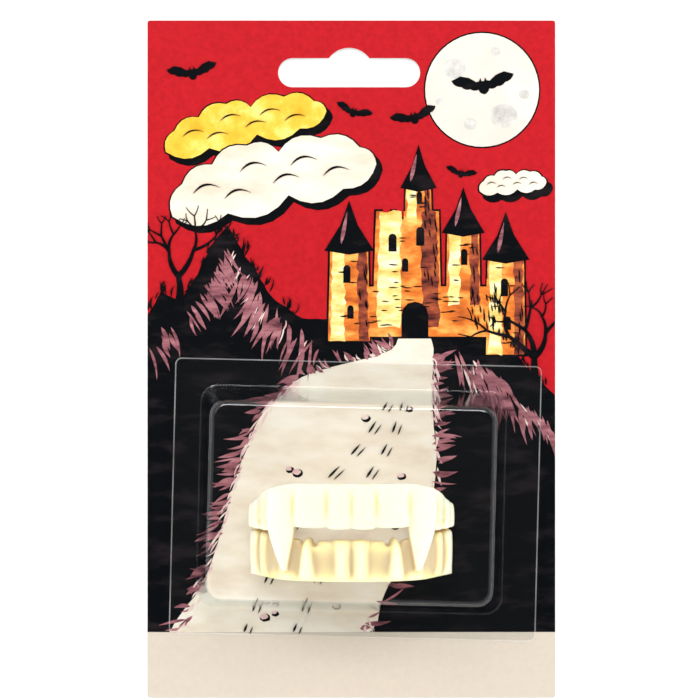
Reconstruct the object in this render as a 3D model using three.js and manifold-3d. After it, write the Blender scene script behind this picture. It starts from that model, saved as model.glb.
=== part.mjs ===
// A vampire fang denture, sealed under a clear blister on its hang card.
// Millimetres. The card lies on its back: +Z points out of its printed face, +Y towards the hang
// slot, and the origin is the centre of the card's back. The denture lies on the card with the
// ends of its arch, so that its front teeth face up and its top gum edge points to +Y.
import * as THREE from "three";
import { mergeVertices } from "three/addons/utils/BufferGeometryUtils.js";
import Module from "manifold-3d";

const wasm = await Module();
wasm.setup();

// The arch that both rows of teeth follow, at the floor of the grooves between the teeth.
const frontRadius = 25.6; // the front of the arch, from the middle to the fangs
const frontAngle = 34; // degrees that the front turns through on each side
const cornerInside = 1.8; // radius of the lower inner wall round the corner where a fang stands
const cornerAngle = 45; // degrees that a corner turns through
const limbLength = 12.5; // the straight side behind a corner

// The two trays: an outer wall with the teeth on it, a bite plate and a low inner wall.
const outerWall = 1.2;
const innerWall = 1.0;
const trayWidth = 9.4; // from the groove floor to the inner side of the inner wall
const biteGap = 5.4; // between the two bite plates
const bitePlate = 1.4;
const upperGumHeight = 6.7; // outer wall above the upper bite plate, at the front
const upperGumBack = 1.6; // the same at the back ends
const lowerGumHeight = 6.3; // outer wall below the lower bite plate, at the front
const lowerGumBack = 4.8;
const innerWallHeight = 4.2; // inner wall beyond the bite plate, at the front
const innerWallBack = 1.4;
const lowerSetback = 2.5; // the front of the lower tray stands this far behind the upper one
const lowerSetbackBack = 0.4; // and its back ends this far

// The teeth, as relief on the outer walls and as edges past the bite plates.
const toothBulge = 0.95; // how far a tooth stands out from the groove floor
const edgeThickness = 0.8; // a tooth's edge, behind the groove floor
const tipThickness = 0.45; // a fang's point
const edgeRounding = 0.6; // share of its bulge that a tooth keeps at its very edge
const notchReach = 0.4; // the wall past its bite plate in a groove between two teeth
const fangReach = 11.1; // a fang past the upper bite plate
const upperIncisorStop = 0.9; // upper incisors end this far above the middle plane
const lowerIncisorStop = 1.2; // lower incisors end this far below it
const lowerFangStop = 0.8;
const sideToothStop = 0.3; // side teeth of both rows nearly meet

// The living hinge: a thin strap on each side joins the back ends of the two bite plates.
const strapThickness = 0.8;
const strapWidth = 5.0;
const strapRoot = 1.5; // how deep the strap is moulded into each plate

// The clear blister: a bubble with a flange round it.
const film = 0.4;
const restGap = 0.3; // under the denture where it lies on the card
const glueLine = 0.3; // under the flange
const roomAbove = 1.6; // between the front teeth and the bubble's face
const roomSide = 10.8; // from the denture to the bubble's foot, on the left and right
const roomTop = 20.0; // the same towards the hang slot
const roomBottom = 8.4; // the same away from it
const bubbleDraft = 6; // degrees that the bubble's walls lean in
const bubbleCorner = 4.0; // radius of the bubble's upright corners at its foot
const bubbleEdge = 2.4; // radius round the bubble's face
const flangeSide = 6.9; // flange beside the bubble
const flangeTop = 6.0;
const flangeBottom = 6.0;
const flangeCorner = 1.5;
const flangeShift = 0.9; // the flange sits this far to the right of the bubble
const blisterTwist = -1.4; // degrees, as the blister is glued a little askew

// The hang card.
const cardThickness = 0.6;
const cardSide = 4.6; // card beside the flange
const cardHeader = 76.2; // card above the flange
const cardFooter = 13.4; // card below it
const cardCorner = 0.5;
const slotLength = 31.75;
const slotHeight = 6.5;
const slotDrop = 11.65; // from the card's top edge down to the slot's centre line
const slotShift = -0.5;
const humpRadius = 5.6; // the peg's seat in the middle of the slot
const humpRise = 2.3; // how far the hump stands above the slot

// How finely the curved faces are divided.
const toothRows = 7; // rows of points down an outer wall
const toothColumn = 0.95; // width of a column of points across a tooth
const pointedColumn = 0.65; // the same across a pointed tooth
const cornerSteps = 5; // along each rounded corner of the bubble
const edgeSteps = 4; // over the round edge of the bubble's face
const strapSteps = 12; // round the strap's bend

// One row for each tooth of half an arch, from the middle back. width is a share of half the arch,
// bulge a share of toothBulge and gum the share of its width that a tooth has at the gum edge.
// stop is where its edge ends, measured from the middle plane. A pointed tooth has its tip at
// point, from -1 at its front side to 1 at its back side, and neck is its width at the plate.
const fangStop = biteGap / 2 - fangReach;
const upperTeeth = [
  { name: "central incisor", width: 0.14, bulge: 0.95, gum: 0.96, stop: upperIncisorStop },
  { name: "lateral incisor", width: 0.204, bulge: 1.0, gum: 0.94, stop: upperIncisorStop * 1.3 },
  { name: "fang", width: 0.216, bulge: 1.3, gum: 0.92, stop: fangStop, point: -0.35, neck: 1 },
  { name: "first side tooth", width: 0.155, bulge: 0.9, gum: 0.94, stop: sideToothStop },
  { name: "second side tooth", width: 0.15, bulge: 0.9, gum: 0.94, stop: sideToothStop },
  { name: "third side tooth", width: 0.135, bulge: 0.8, gum: 0.94, stop: sideToothStop },
];
const lowerTeeth = [
  { name: "central incisor", width: 0.115, bulge: 0.8, gum: 0.86, stop: lowerIncisorStop },
  { name: "lateral incisor", width: 0.105, bulge: 0.3, gum: 0.8, stop: lowerIncisorStop * 1.25 },
  { name: "lower fang", width: 0.13, bulge: 1.3, gum: 1, stop: lowerFangStop, point: 0, neck: 0.5 },
  { name: "tooth behind the fang", width: 0.165, bulge: 0.7, gum: 0.9, stop: lowerIncisorStop },
  { name: "first side tooth", width: 0.17, bulge: 0.9, gum: 0.94, stop: sideToothStop },
  { name: "second side tooth", width: 0.165, bulge: 0.9, gum: 0.94, stop: sideToothStop },
  { name: "third side tooth", width: 0.15, bulge: 0.8, gum: 0.94, stop: sideToothStop },
];

const radians = THREE.MathUtils.degToRad;
const mix = THREE.MathUtils.lerp;
const ease = THREE.MathUtils.smoothstep;

const cornerRadius = trayWidth + lowerSetback + cornerInside;
const frontRun = frontRadius * radians(frontAngle);
const cornerRun = cornerRadius * radians(cornerAngle);
const halfArch = frontRun + cornerRun + limbLength;

// The point of the arch at the distance s from its middle, on the side of s's sign: x to the side,
// depth back from the front, and turn, the angle of the outward normal from straight ahead.
function archAt(s) {
  const run = Math.abs(s);
  const side = Math.sign(s);
  const turned = radians(frontAngle);
  if (run <= frontRun) {
    const turn = run / frontRadius;
    const depth = frontRadius * (1 - Math.cos(turn));
    return { x: side * frontRadius * Math.sin(turn), depth, turn: side * turn };
  }
  const corner = Math.min(run - frontRun, cornerRun) / cornerRadius;
  const turn = turned + corner;
  let x = frontRadius * Math.sin(turned) + cornerRadius * (Math.sin(turn) - Math.sin(turned));
  let depth = frontRadius * (1 - Math.cos(turned)) + cornerRadius * (Math.cos(turned) - Math.cos(turn));
  const limb = Math.max(run - frontRun - cornerRun, 0);
  x += limb * Math.cos(turn);
  depth += limb * Math.sin(turn);
  return { x: side * x, depth, turn: side * turn };
}

// A place on the denture: along the arch, out along its normal, and up towards the gum edge.
function onArch(s, out, up) {
  const { x, depth, turn } = archAt(s);
  return new THREE.Vector3(x + out * Math.sin(turn), up, -depth + out * Math.cos(turn));
}

// A closed surface through rings of equally many points, with end as the outline of its two caps.
function loft(rings, end) {
  const count = end.length;
  const index = [];
  for (let i = 0; i + 1 < rings.length; i++) {
    for (let j = 0; j < count; j++) {
      const [a, b] = [i * count + j, i * count + ((j + 1) % count)];
      index.push(a, b, b + count, a, b + count, a + count);
    }
  }
  const clockwise = THREE.ShapeUtils.isClockWise(end);
  const last = (rings.length - 1) * count;
  for (const corners of THREE.ShapeUtils.triangulateShape(end, [])) {
    const [a, b, c] = clockwise ? corners.reverse() : corners;
    index.push(c, b, a, last + a, last + b, last + c);
  }
  return new THREE.BufferGeometry().setFromPoints(rings.flat()).setIndex(index);
}

// A geometry as a manifold solid, turned right side out where its faces point inwards.
function solid(geometry) {
  const bare = geometry.clone();
  for (const name of Object.keys(bare.attributes)) {
    if (name !== "position") bare.deleteAttribute(name);
  }
  const merged = mergeVertices(bare, 1e-4);
  const triVerts = new Uint32Array(merged.index.array);
  const vertProperties = merged.attributes.position.array;
  const made = new wasm.Manifold(new wasm.Mesh({ numProp: 3, vertProperties, triVerts }));
  if (made.volume() > 0) return made;
  return new wasm.Manifold(new wasm.Mesh({ numProp: 3, vertProperties, triVerts: triVerts.reverse() }));
}

function geometryOf(made) {
  const { vertProperties, triVerts } = made.getMesh();
  const geometry = new THREE.BufferGeometry();
  geometry.setAttribute("position", new THREE.BufferAttribute(new Float32Array(vertProperties), 3));
  geometry.setIndex(new THREE.BufferAttribute(new Uint32Array(triVerts), 1));
  geometry.computeVertexNormals();
  return geometry;
}

// The share of its full width that a pointed tooth has at a height, where share runs from 0 at the
// bite plate to 1 at the tip. Above the plate it widens from its neck to its width at the gum.
const pointedWidth = (tooth, share) => tooth.neck * (1 - share) ** 0.8;

// Where a tooth's edge lies at the place u across it, as a height above the middle plane.
function edgeOf(tooth, u) {
  const notch = biteGap / 2 - notchReach;
  if (tooth.point === undefined) return mix(tooth.stop, notch, Math.abs(u) ** 4);
  const flank = u < tooth.point ? 1 + tooth.point : 1 - tooth.point;
  const away = Math.min(Math.abs(u - tooth.point) / flank / tooth.neck, 1);
  return mix(tooth.stop, notch, away ** 1.25);
}

// How far a tooth's face stands out at the place u across it and the height up, below gumEdge.
function faceOf(tooth, u, up, gumEdge) {
  const plate = biteGap / 2 - notchReach;
  const gumShare = THREE.MathUtils.clamp((up - plate) / (gumEdge - plate), 0, 1);
  let width = mix(1, tooth.gum, gumShare);
  let middle = 0;
  let taper = 1;
  if (tooth.point !== undefined) {
    const tipShare = THREE.MathUtils.clamp((plate - up) / (plate - tooth.stop), 0, 1);
    width = up > plate ? mix(tooth.neck, tooth.gum, gumShare) : pointedWidth(tooth, tipShare);
    middle = tooth.point * (1 - width);
    taper = mix(1, 0.45, tipShare);
  }
  const across = width > 0 ? Math.min(Math.abs(u - middle) / width, 1) : 1;
  const crown = mix(0.9, 1, Math.sin(Math.PI * (1 - gumShare) * 0.75)) * mix(1, 0.7, gumShare ** 2);
  return toothBulge * tooth.bulge * (1 - across ** 2) ** 0.6 * crown * taper;
}

// The places along an arch where a tray has a section, each with its tooth and the place u on it.
function placesAlong(teeth) {
  const places = [{ s: 0, u: -1, tooth: teeth[0] }];
  let start = 0;
  for (const tooth of teeth) {
    const width = tooth.width * halfArch;
    const pointed = tooth.point !== undefined;
    const columns = Math.ceil(width / (pointed ? pointedColumn : toothColumn));
    const tip = pointed ? Math.round(((tooth.point + 1) / 2) * columns) : -1;
    for (let column = 1; column <= columns; column++) {
      const u = column === tip ? tooth.point : (2 * column) / columns - 1;
      places.push({ s: start + ((u + 1) / 2) * width, u, tooth });
    }
    start += width;
  }
  const mirrored = places.slice(1).reverse().map((place) => ({ ...place, s: -place.s }));
  return [...mirrored, ...places];
}

// A tray's section at one place: the tooth's face from the gum edge down to its own edge, back
// round the bite plate, up and over the inner wall, and through the trough to the gum edge.
// Each point is how far out it lies and how far above the middle plane.
function traySection({ s, u, tooth }, gumHeight, gumBack, setback) {
  const plateLow = biteGap / 2;
  const plateHigh = plateLow + bitePlate;
  const back = ease(Math.abs(s), frontRun * 0.75, halfArch);
  const gumEdge = plateHigh + mix(gumHeight, gumBack, back);
  const lip = plateHigh + mix(innerWallHeight, innerWallBack, back);
  const edge = edgeOf(tooth, u);
  const floor = -setback(s);
  const wall = floor - outerWall;
  const inside = floor - trayWidth;
  const section = [];
  for (let row = 0; row <= toothRows; row++) {
    const up = mix(gumEdge, edge, row / toothRows);
    const rounding = row === toothRows ? edgeRounding : 1;
    section.push([floor + faceOf(tooth, u, up, gumEdge) * rounding, up]);
  }
  const towardsTip = (plateLow - edge) / (plateLow - tooth.stop);
  const thickness = tooth.point === undefined ? edgeThickness : mix(outerWall, tipThickness, towardsTip);
  section.push([floor - thickness, edge]);
  section.push([wall, plateLow], [inside, plateLow], [inside, lip]);
  section.push([inside + innerWall, lip], [inside + innerWall, plateHigh]);
  section.push([wall, plateHigh], [wall, gumEdge]);
  return section;
}

// A tray carries its section along the arch. setback says how far it stands behind the arch at s,
// and flip is -1 for the lower tray, which is made upside down.
function tray(teeth, gumHeight, gumBack, setback, flip) {
  const places = placesAlong(teeth);
  const sections = places.map((place) => traySection(place, gumHeight, gumBack, setback));
  const rings = places.map(({ s }, i) => sections[i].map(([out, up]) => onArch(s, out, up * flip)));
  const end = sections[0].map(([out, up]) => new THREE.Vector2(out, up));
  return solid(loft(rings, end));
}

// The strap bends from one bite plate's end round to the other's, behind the end of a limb.
function hingeStrap(side) {
  const bend = (biteGap + bitePlate) / 2;
  const inner = bend - strapThickness / 2;
  const outer = bend + strapThickness / 2;
  const profile = new THREE.Shape();
  profile.moveTo(-strapRoot, -outer);
  profile.absarc(0, 0, outer, -Math.PI / 2, Math.PI / 2, false);
  profile.lineTo(-strapRoot, outer);
  profile.lineTo(-strapRoot, inner);
  profile.absarc(0, 0, inner, Math.PI / 2, -Math.PI / 2, true);
  profile.lineTo(-strapRoot, -inner);
  profile.closePath();
  const across = { depth: strapWidth, bevelEnabled: false, curveSegments: strapSteps };
  const strap = new THREE.ExtrudeGeometry(profile, across);
  const { turn } = archAt(side * halfArch);
  const end = onArch(side * halfArch, -(outerWall + trayWidth) / 2, 0);
  strap.translate(0, 0, -strapWidth / 2);
  strap.rotateY(Math.PI / 2);
  strap.rotateY(turn - (side * Math.PI) / 2);
  strap.translate(end.x, end.y, end.z);
  return solid(strap);
}

function denture() {
  const settled = frontRun + cornerRun * 0.75; // up to here the lower teeth keep their full setback
  const setback = (s) => mix(lowerSetback, lowerSetbackBack, ease(Math.abs(s), settled, halfArch));
  const upper = tray(upperTeeth, upperGumHeight, upperGumBack, () => 0, 1);
  const lower = tray(lowerTeeth, lowerGumHeight, lowerGumBack, setback, -1);
  return geometryOf(upper.add(lower).add(hingeStrap(-1)).add(hingeStrap(1)));
}

// A rounded rectangle round the origin, as a ring of points at the height z.
function roundedRing(width, height, radius, z) {
  const ring = [];
  for (let corner = 0; corner < 4; corner++) {
    const [sx, sy] = [[1, 1], [-1, 1], [-1, -1], [1, -1]][corner];
    for (let i = 0; i <= cornerSteps; i++) {
      const angle = (Math.PI / 2) * (corner + i / cornerSteps);
      const x = sx * (width / 2 - radius) + radius * Math.cos(angle);
      const y = sy * (height / 2 - radius) + radius * Math.sin(angle);
      ring.push(new THREE.Vector3(x, y, z));
    }
  }
  return ring;
}

function roundedShape(width, height, radius) {
  return new THREE.Shape(roundedRing(width, height, radius, 0).map((p) => new THREE.Vector2(p.x, p.y)));
}

// A bubble's solid: leaning walls from foot up to face, then a round edge into the flat face.
function bubble(width, height, corner, edge, foot, face) {
  const rings = [roundedRing(width, height, corner, foot)];
  const lean = Math.tan(radians(bubbleDraft));
  const shoulder = face - edge;
  for (let i = 0; i <= edgeSteps; i++) {
    const angle = (Math.PI / 2) * (i / edgeSteps);
    const inset = (shoulder - foot) * lean + edge * (1 - Math.cos(angle));
    const z = shoulder + edge * Math.sin(angle);
    rings.push(roundedRing(width - 2 * inset, height - 2 * inset, corner, z));
  }
  const end = rings[0].map((p) => new THREE.Vector2(p.x, p.y));
  return solid(loft(rings, end));
}

const teeth = denture();
const reach = new THREE.Box3().setFromBufferAttribute(teeth.attributes.position);

const cardFace = cardThickness;
const dentureFront = cardFace + restGap - reach.min.z;
const bubbleFoot = cardFace + glueLine;
const bubbleFace = dentureFront + reach.max.z + roomAbove + film;
const bubbleWidth = 2 * (reach.max.x + roomSide + film);
const bubbleHeight = reach.max.y - reach.min.y + roomTop + roomBottom;
const flangeWidth = bubbleWidth + 2 * flangeSide;
const flangeHeight = bubbleHeight + flangeTop + flangeBottom;
const cardWidth = flangeWidth + 2 * cardSide;
const cardHeight = cardFooter + flangeHeight + cardHeader;

const cardBottom = -cardHeight / 2;
const bubbleMiddle = cardBottom + cardFooter + flangeBottom + bubbleHeight / 2;
const dentureMiddle = bubbleMiddle - bubbleHeight / 2 + roomBottom - reach.min.y;

function blister() {
  const flangeShape = roundedShape(flangeWidth, flangeHeight, flangeCorner);
  const flange = new THREE.ExtrudeGeometry(flangeShape, { depth: film, bevelEnabled: false });
  flange.translate(flangeShift, (flangeTop - flangeBottom) / 2, bubbleFoot);
  const outside = bubble(bubbleWidth, bubbleHeight, bubbleCorner, bubbleEdge, bubbleFoot, bubbleFace);
  const inside = bubble(
    bubbleWidth - 2 * film,
    bubbleHeight - 2 * film,
    bubbleCorner - film,
    bubbleEdge - film,
    bubbleFoot,
    bubbleFace - film,
  );
  const mouthShape = roundedShape(bubbleWidth - 2 * film, bubbleHeight - 2 * film, bubbleCorner - film);
  const mouth = new THREE.ExtrudeGeometry(mouthShape, { depth: 2 * film, bevelEnabled: false });
  mouth.translate(0, 0, bubbleFoot - film);
  return geometryOf(solid(flange).add(outside).subtract(inside).subtract(solid(mouth)));
}

// The slot that a peg goes through: round ends, and a hump in the middle that the card hangs on.
function hangSlot() {
  const end = slotHeight / 2;
  const straight = slotLength / 2 - end;
  const drop = humpRadius - humpRise; // from the slot's upper edge down to the hump's centre
  const mouth = Math.asin(drop / humpRadius);
  const slot = new THREE.Path();
  slot.moveTo(-straight, -end);
  slot.lineTo(straight, -end);
  slot.absarc(straight, 0, end, -Math.PI / 2, Math.PI / 2, false);
  slot.absarc(0, end - drop, humpRadius, mouth, Math.PI - mouth, false);
  slot.absarc(-straight, 0, end, Math.PI / 2, (3 * Math.PI) / 2, false);
  return slot;
}

function card() {
  const shape = roundedShape(cardWidth, cardHeight, cardCorner);
  const slotMiddle = new THREE.Vector2(slotShift, cardHeight / 2 - slotDrop);
  const outline = hangSlot().getPoints(8).map((p) => p.add(slotMiddle));
  shape.holes.push(new THREE.Path(outline));
  const board = new THREE.ExtrudeGeometry(shape, { depth: cardThickness, bevelEnabled: false });
  return geometryOf(solid(board));
}

function piece(name, geometry, look) {
  const mesh = new THREE.Mesh(geometry, new THREE.MeshStandardMaterial(look));
  mesh.name = name;
  return mesh;
}

const part = new THREE.Group();

const board = piece("card", card(), { color: 0xc4282f, roughness: 0.5, metalness: 0 });
part.add(board);

const moulding = piece("denture", teeth, { color: 0xfbf3d3, roughness: 0.4, metalness: 0 });
moulding.position.set(0, dentureMiddle, dentureFront);
part.add(moulding);

const clear = { color: 0xf4f8fa, roughness: 0.08, metalness: 0, transparent: true, opacity: 0.2 };
const shell = piece("blister", blister(), clear);
shell.position.set(0, bubbleMiddle, 0);
shell.rotation.z = radians(blisterTwist);
part.add(shell);

export default part;
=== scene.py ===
# %% [markdown]
# # A toy vampire denture on its blister card
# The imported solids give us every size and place. Here we model the finished surfaces over them:
# the moulded denture, the clear film and the printed card. All lengths are metres, as Blender's
# own, and a small helper lets us write millimetres, the unit such a toy is drawn in.

# %% Load the frame
import math
import random

import bmesh
import bpy
from mathutils import Matrix, Vector
from mathutils.bvhtree import BVHTree


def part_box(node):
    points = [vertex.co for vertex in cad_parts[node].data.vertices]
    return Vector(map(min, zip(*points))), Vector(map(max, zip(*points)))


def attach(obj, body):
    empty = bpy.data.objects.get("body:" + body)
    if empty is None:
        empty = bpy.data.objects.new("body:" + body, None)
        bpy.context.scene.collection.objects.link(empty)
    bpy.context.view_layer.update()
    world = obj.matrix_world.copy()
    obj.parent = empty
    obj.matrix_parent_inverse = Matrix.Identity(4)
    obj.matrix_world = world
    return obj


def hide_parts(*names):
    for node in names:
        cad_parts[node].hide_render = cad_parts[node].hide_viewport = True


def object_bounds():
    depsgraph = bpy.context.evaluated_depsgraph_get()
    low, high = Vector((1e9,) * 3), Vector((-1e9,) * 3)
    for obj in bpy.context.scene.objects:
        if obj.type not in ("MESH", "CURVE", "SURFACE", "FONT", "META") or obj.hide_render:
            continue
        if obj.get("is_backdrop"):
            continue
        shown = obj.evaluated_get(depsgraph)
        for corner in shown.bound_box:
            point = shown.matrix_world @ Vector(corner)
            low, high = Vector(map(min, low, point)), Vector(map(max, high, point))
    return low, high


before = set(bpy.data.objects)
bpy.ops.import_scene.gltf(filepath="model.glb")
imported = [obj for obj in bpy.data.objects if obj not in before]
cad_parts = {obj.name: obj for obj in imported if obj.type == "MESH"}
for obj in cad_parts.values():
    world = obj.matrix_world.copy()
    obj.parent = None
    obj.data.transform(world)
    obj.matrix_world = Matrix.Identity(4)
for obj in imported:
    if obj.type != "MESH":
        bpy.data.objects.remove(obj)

cad_box = [list(corner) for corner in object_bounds()]
print("solids:", sorted(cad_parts), "box in metres:", cad_box)

# %% Units
def mm(value):
    """Millimetres as metres."""
    return value / 1000.0


card_low, card_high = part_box("card")
denture_low, denture_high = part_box("denture")
blister_low, blister_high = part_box("blister")
card_face = card_high.z
print("card", (card_high - card_low) * 1000, "denture", (denture_high - denture_low) * 1000)

# %% [markdown]
# ## The camera
# The photograph looks straight down on the card. One pixel of it is 0.2236 mm at the card, so the
# 700 pixels span 156.5 mm there. The far walls of the bubble show a little perspective, which
# fits a camera about 0.7 m up.

# %% The camera
PHOTO_PIXELS = 700
PIXEL = mm(0.2236)
CAMERA_HEIGHT = mm(700)
CAMERA_AIM = (mm(-0.3), mm(2.0))

bpy.ops.object.camera_add(location=(*CAMERA_AIM, CAMERA_HEIGHT), rotation=(0, 0, 0))
camera = bpy.context.object
camera.data.sensor_width = 36.0
camera.data.lens = camera.data.sensor_width * CAMERA_HEIGHT / (PHOTO_PIXELS * PIXEL)
camera.data.clip_end = 10.0
bpy.context.scene.camera = camera
print("lens", round(camera.data.lens, 1), "mm")

# %% [markdown]
# ## Working in edit mode
# Every piece starts as a primitive and is shaped by edit mode's operators. These few helpers pick
# vertices, edges or faces by where they lie, because an operator acts on all that is selected.

# %% Helpers for edit mode
def deselect():
    """Leaves edit mode and selects nothing, so that the next operator starts clean."""
    if bpy.context.object and bpy.context.object.mode != "OBJECT":
        bpy.ops.object.mode_set(mode="OBJECT")
    bpy.ops.object.select_all(action="DESELECT")


def activate(piece):
    """Makes a piece the only one selected, and the active one."""
    deselect()
    piece.select_set(True)
    bpy.context.view_layer.objects.active = piece


def edit(piece, what="VERT"):
    """Opens one piece in edit mode with nothing of it selected."""
    activate(piece)
    bpy.ops.object.mode_set(mode="EDIT")
    bpy.ops.mesh.select_mode(type=what)
    bpy.ops.mesh.select_all(action="DESELECT")
    return bmesh.from_edit_mesh(piece.data)


def pick(piece, what, test):
    """Selects the vertices, edges or faces that pass a test, and says how many."""
    bpy.ops.mesh.select_mode(type=what)
    bpy.ops.mesh.select_all(action="DESELECT")
    shape = bmesh.from_edit_mesh(piece.data)
    found = {"VERT": shape.verts, "EDGE": shape.edges, "FACE": shape.faces}[what]
    chosen = [part for part in found if test(part)]
    for part in chosen:
        part.select_set(True)
    shape.select_flush_mode()
    bmesh.update_edit_mesh(piece.data)
    return len(chosen)


def extrude(by):
    """Extrudes what is selected and moves it."""
    bpy.ops.mesh.extrude_region_move(TRANSFORM_OT_translate={"value": by})


def face_outwards():
    """Turns every face of the piece in edit mode outwards."""
    bpy.ops.mesh.select_all(action="SELECT")
    bpy.ops.mesh.normals_make_consistent(inside=False)


def middle(part):
    """The middle of an edge or a face."""
    return sum((v.co for v in part.verts), Vector()) / len(part.verts)


def apply_modifier(piece, kind, **settings):
    """Adds a modifier, sets it and applies it."""
    activate(piece)
    made = piece.modifiers.new(kind.lower(), kind)
    for name, value in settings.items():
        setattr(made, name, value)
    bpy.ops.object.modifier_apply(modifier=made.name)


def join(pieces, name):
    """Several pieces as one object."""
    deselect()
    for piece in pieces:
        piece.select_set(True)
    bpy.context.view_layer.objects.active = pieces[0]
    bpy.ops.object.join()
    pieces[0].name = name
    return pieces[0]


def settle(piece, smooth_angle=None):
    """Puts the piece's place into its mesh, so that its object sits at the origin, unturned."""
    activate(piece)
    bpy.ops.object.transform_apply(location=True, rotation=True, scale=True)
    if smooth_angle is not None:
        bpy.ops.object.shade_smooth_by_angle(angle=math.radians(smooth_angle))
    return piece


# %% [markdown]
# ## The arch
# Both rows of teeth follow one arch: a wide front arc, a tighter corner where the fang stands, and
# a straight limb. Knowing its two arc centres is enough to spin a profile round it later on.

# %% The arch's sizes
FRONT_RADIUS = mm(25.6)
FRONT_ANGLE = math.radians(34)
CORNER_RADIUS = mm(13.7)
CORNER_ANGLE = math.radians(45)
LIMB_LENGTH = mm(12.5)
OUTER_WALL = mm(1.2)
TRAY_WIDTH = mm(9.4)
BITE_GAP = mm(5.4)
BITE_PLATE = mm(1.4)
PLATE_MIDDLE = (BITE_GAP + BITE_PLATE) / 2
PLATE_TOP = BITE_GAP / 2 + BITE_PLATE
TOOTH_BULGE = mm(0.95)

front_run = FRONT_RADIUS * FRONT_ANGLE
corner_run = CORNER_RADIUS * CORNER_ANGLE
half_arch = front_run + corner_run + LIMB_LENGTH
corner_centre = Vector((
    (FRONT_RADIUS - CORNER_RADIUS) * math.sin(FRONT_ANGLE),
    0,
    (FRONT_RADIUS - CORNER_RADIUS) * math.cos(FRONT_ANGLE) - FRONT_RADIUS,
))


def arch_place(run, out=0.0):
    """A point beside the arch and the angle that it faces, run metres from the middle."""
    side, run = math.copysign(1, run), abs(run)
    turn = min(run, front_run) / FRONT_RADIUS
    turn += min(max(run - front_run, 0), corner_run) / CORNER_RADIUS
    facing = Vector((math.sin(turn), 0, math.cos(turn)))
    if run <= front_run:
        point = Vector((0, 0, -FRONT_RADIUS)) + facing * (FRONT_RADIUS + out)
    else:
        point = corner_centre + facing * (CORNER_RADIUS + out)
    limb = max(run - front_run - corner_run, 0)
    point += Vector((math.cos(turn), 0, -math.sin(turn))) * limb
    return Vector((side * point.x, 0, point.z)), side * turn


def arch_measure(point):
    """The reverse: how far along the arch a point stands, and how far outside it."""
    x, z = abs(point.x), point.z
    turn = math.atan2(x, z + FRONT_RADIUS)
    if turn <= FRONT_ANGLE:
        return turn * FRONT_RADIUS, math.hypot(x, z + FRONT_RADIUS) - FRONT_RADIUS
    reach = Vector((x, 0, z)) - corner_centre
    turn = math.atan2(reach.x, reach.z)
    last = FRONT_ANGLE + CORNER_ANGLE
    if turn <= last:
        return front_run + (turn - FRONT_ANGLE) * CORNER_RADIUS, reach.length - CORNER_RADIUS
    along = reach.x * math.cos(last) - reach.z * math.sin(last)
    out = reach.x * math.sin(last) + reach.z * math.cos(last) - CORNER_RADIUS
    return front_run + corner_run + along, out


def eased(run, start, end):
    """Grows smoothly from 0 at start to 1 at end."""
    share = min(max((run - start) / (end - start), 0), 1)
    return share * share * (3 - 2 * share)


print("half of the arch is", round(half_arch * 1000, 1), "mm long")

# %% [markdown]
# ## The two trays
# A tray is a channel: an outer wall behind the teeth, a bite plate and a low inner wall. A plane
# stood on edge and left without its face and its top edge is just that U. We spin it round the
# front arc, spin its end round the corner, extrude the limb and mirror it. The walls get lower
# towards the back, the lower tray's outer one only a little, so their top points are then let down
# by a share of the way along the arch, and Solidify gives the sheet its thickness. The lower tray
# stands further back in front, and it is turned over once its teeth are made.

# %% Sweep a tray
SPIN_STEPS = 14
LIMB_STEPS = 8
UPPER = {"gum": mm(6.7), "gum_back": mm(1.6), "setback": 0.0, "setback_back": 0.0}
LOWER = {"gum": mm(6.3), "gum_back": mm(6.1), "setback": mm(2.5), "setback_back": mm(0.1)}
LIP = mm(4.2)
LIP_BACK = mm(1.4)


def wall_top(run, front, back):
    """The height of a wall's edge over the bite, from its heights over the plate."""
    return PLATE_TOP + front + (back - front) * eased(run, front_run * 0.75, half_arch)


def setback_at(run, tray):
    """How far a row stands behind the arch: its full setback as far as the corner, then less."""
    share = eased(run, front_run + corner_run * 0.75, half_arch)
    return tray["setback"] + (tray["setback_back"] - tray["setback"]) * share


def tangent_limb(tray):
    """The angle that a corner of this setback turns through, and the limb's length after it."""
    end, _ = arch_place(half_arch, -tray["setback_back"])
    reach = end - corner_centre
    distance = math.hypot(reach.x, reach.z)
    radius = CORNER_RADIUS - tray["setback"]
    turn = math.atan2(reach.x, reach.z) - math.acos(radius / distance)
    return turn - FRONT_ANGLE, math.sqrt(distance ** 2 - radius ** 2)


def u_profile(tray):
    """A plane on edge in the arch's middle, left with three edges: wall, bite plate, inner wall."""
    bpy.ops.mesh.primitive_plane_add(size=1.0)
    sheet = bpy.context.object
    shape = edit(sheet)
    outer = -tray["setback"] - OUTER_WALL / 2
    inner = -tray["setback"] - TRAY_WIDTH + OUTER_WALL / 2
    lip, gum = PLATE_TOP + LIP, PLATE_TOP + tray["gum"]
    corners = [(outer, PLATE_MIDDLE), (inner, PLATE_MIDDLE), (inner, lip), (outer, gum)]
    around = sorted(shape.verts, key=lambda v: math.atan2(v.co.y, v.co.x))
    for vertex, (out, up) in zip(around, corners):
        vertex.co = (0, up, out)
    pick(sheet, "EDGE", lambda e: abs(middle(e).y - (gum + lip) / 2) < mm(0.1))
    bpy.ops.mesh.delete(type="EDGE_FACE")
    return sheet


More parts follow.
